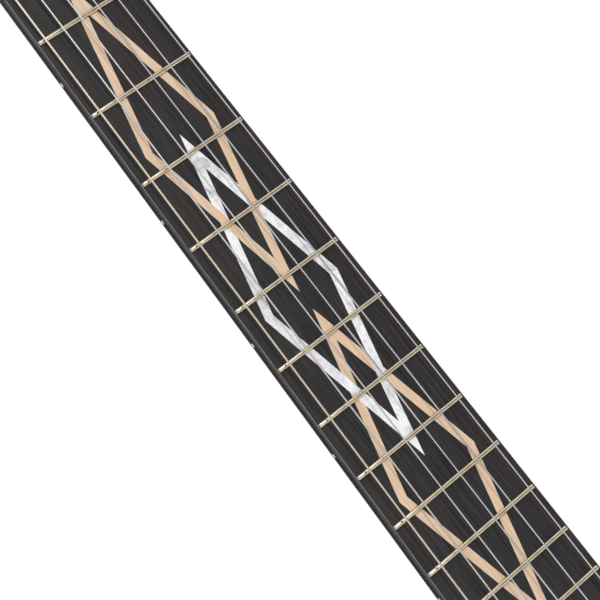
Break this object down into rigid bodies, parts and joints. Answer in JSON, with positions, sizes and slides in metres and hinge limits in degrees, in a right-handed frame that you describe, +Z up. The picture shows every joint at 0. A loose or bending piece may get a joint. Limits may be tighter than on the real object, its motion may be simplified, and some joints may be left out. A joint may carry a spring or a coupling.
{
  "type": "bouzouki",
  "caption": "Long-necked bowl-back lute with a wide inlaid ebony fretboard, single strings over a floating bridge to a tailpiece, and geared tuning machines that turn.",
  "frame": {"origin": "middle of the fretboard's top edge at the nut, where a hanger holds the neck", "axes": "+Z up the headstock, the body hanging below; -Y out of the front of the instrument; +X towards the treble side"},
  "size_m": [0.31, 0.1821, 0.9467],
  "materials": {
    "dark_neck": "satin black stain on a straight-grained neck",
    "ebony": "oiled ebony, fine dark grain",
    "bone": "polished bone",
    "rod_steel": "plain steel",
    "fret_wire": "polished nickel silver",
    "wound_string": "bright wound metal",
    "plain_string": "plain drawn steel",
    "machine_metal": "satin brass",
    "post_metal": "bright plated metal",
    "knob_button": "cream buttons on steel shafts",
    "walnut": "glossy dark walnut staves",
    "spruce": "satin aged spruce",
    "maple": "gloss maple",
    "cedar": "bare cedar",
    "pickguard": "polished dark plate",
    "fitting_metal": "bright plated metal"
  },
  "bodies": {
    "instrument": {"neck": "dark_neck", "headstock_veneer": "ebony", "nut": "bone", "truss_rod": "rod_steel", "fretboard": "ebony", "fret_01": "fret_wire", "fret_02": "fret_wire", "fret_03": "fret_wire", "fret_04": "fret_wire", "fret_05": "fret_wire", "fret_06": "fret_wire", "fret_07": "fret_wire", "fret_08": "fret_wire", "fret_09": "fret_wire", "fret_10": "fret_wire", "fret_11": "fret_wire", "fret_12": "fret_wire", "fret_13": "fret_wire", "fret_14": "fret_wire", "fret_15": "fret_wire", "fret_16": "fret_wire", "fret_17": "fret_wire", "fret_18": "fret_wire", "fret_19": "fret_wire", "fret_20": "fret_wire", "fret_21": "fret_wire", "fret_22": "fret_wire", "string_1": "wound_string", "string_2": "wound_string", "string_3": "wound_string", "string_4": "plain_string", "string_5": "plain_string", "string_6": "plain_string", "tuner_plate_bass": "machine_metal", "tuner_plate_treble": "machine_metal", "bowl": "walnut", "soundboard": "spruce", "neck_block": "cedar", "tail_block": "cedar", "top_binding": "maple", "brace_upper": "spruce", "brace_lower": "spruce", "bridge": "ebony", "saddle": "bone", "pickguard": "pickguard", "tailpiece": "fitting_metal", "tail_cover": "fitting_metal", "strap_button": "fitting_metal"},
    "post_1": {"string_post_1": "post_metal"},
    "knob_1": {"tuning_knob_1": "knob_button"},
    "post_2": {"string_post_2": "post_metal"},
    "knob_2": {"tuning_knob_2": "knob_button"},
    "post_3": {"string_post_3": "post_metal"},
    "knob_3": {"tuning_knob_3": "knob_button"},
    "post_4": {"string_post_4": "post_metal"},
    "knob_4": {"tuning_knob_4": "knob_button"},
    "post_5": {"string_post_5": "post_metal"},
    "knob_5": {"tuning_knob_5": "knob_button"},
    "post_6": {"string_post_6": "post_metal"},
    "knob_6": {"tuning_knob_6": "knob_button"}
  },
  "joints": [
    {"name": "knob_turn_1", "type": "hinge", "parent": "instrument", "child": "knob_1", "pos_m": [-0.023, 0.03518, 0.05235], "axis": [1, 0, 0], "continuous": true},
    {"name": "post_turn_1", "type": "hinge", "parent": "instrument", "child": "post_1", "pos_m": [-0.023, 0.01463, 0.05072], "axis": [0, -0.9703, 0.2419], "continuous": true},
    {"name": "knob_turn_2", "type": "hinge", "parent": "instrument", "child": "knob_2", "pos_m": [-0.021, 0.04341, 0.08534], "axis": [1, 0, 0], "continuous": true},
    {"name": "post_turn_2", "type": "hinge", "parent": "instrument", "child": "post_2", "pos_m": [-0.021, 0.02285, 0.08371], "axis": [0, -0.9703, 0.2419], "continuous": true},
    {"name": "knob_turn_3", "type": "hinge", "parent": "instrument", "child": "knob_3", "pos_m": [-0.019, 0.05163, 0.11833], "axis": [1, 0, 0], "continuous": true},
    {"name": "post_turn_3", "type": "hinge", "parent": "instrument", "child": "post_3", "pos_m": [-0.019, 0.03108, 0.1167], "axis": [0, -0.9703, 0.2419], "continuous": true},
    {"name": "knob_turn_4", "type": "hinge", "parent": "instrument", "child": "knob_4", "pos_m": [0.019, 0.05163, 0.11833], "axis": [1, 0, 0], "continuous": true},
    {"name": "post_turn_4", "type": "hinge", "parent": "instrument", "child": "post_4", "pos_m": [0.019, 0.03108, 0.1167], "axis": [0, -0.9703, 0.2419], "continuous": true},
    {"name": "knob_turn_5", "type": "hinge", "parent": "instrument", "child": "knob_5", "pos_m": [0.021, 0.04341, 0.08534], "axis": [1, 0, 0], "continuous": true},
    {"name": "post_turn_5", "type": "hinge", "parent": "instrument", "child": "post_5", "pos_m": [0.021, 0.02285, 0.08371], "axis": [0, -0.9703, 0.2419], "continuous": true},
    {"name": "knob_turn_6", "type": "hinge", "parent": "instrument", "child": "knob_6", "pos_m": [0.023, 0.03518, 0.05235], "axis": [1, 0, 0], "continuous": true},
    {"name": "post_turn_6", "type": "hinge", "parent": "instrument", "child": "post_6", "pos_m": [0.023, 0.01463, 0.05072], "axis": [0, -0.9703, 0.2419], "continuous": true}
  ],
  "couplings": [
    {"joint": "post_turn_1", "follows": "knob_turn_1", "ratio": 0.071429},
    {"joint": "post_turn_2", "follows": "knob_turn_2", "ratio": 0.071429},
    {"joint": "post_turn_3", "follows": "knob_turn_3", "ratio": 0.071429},
    {"joint": "post_turn_4", "follows": "knob_turn_4", "ratio": 0.071429},
    {"joint": "post_turn_5", "follows": "knob_turn_5", "ratio": 0.071429},
    {"joint": "post_turn_6", "follows": "knob_turn_6", "ratio": 0.071429}
  ]
}
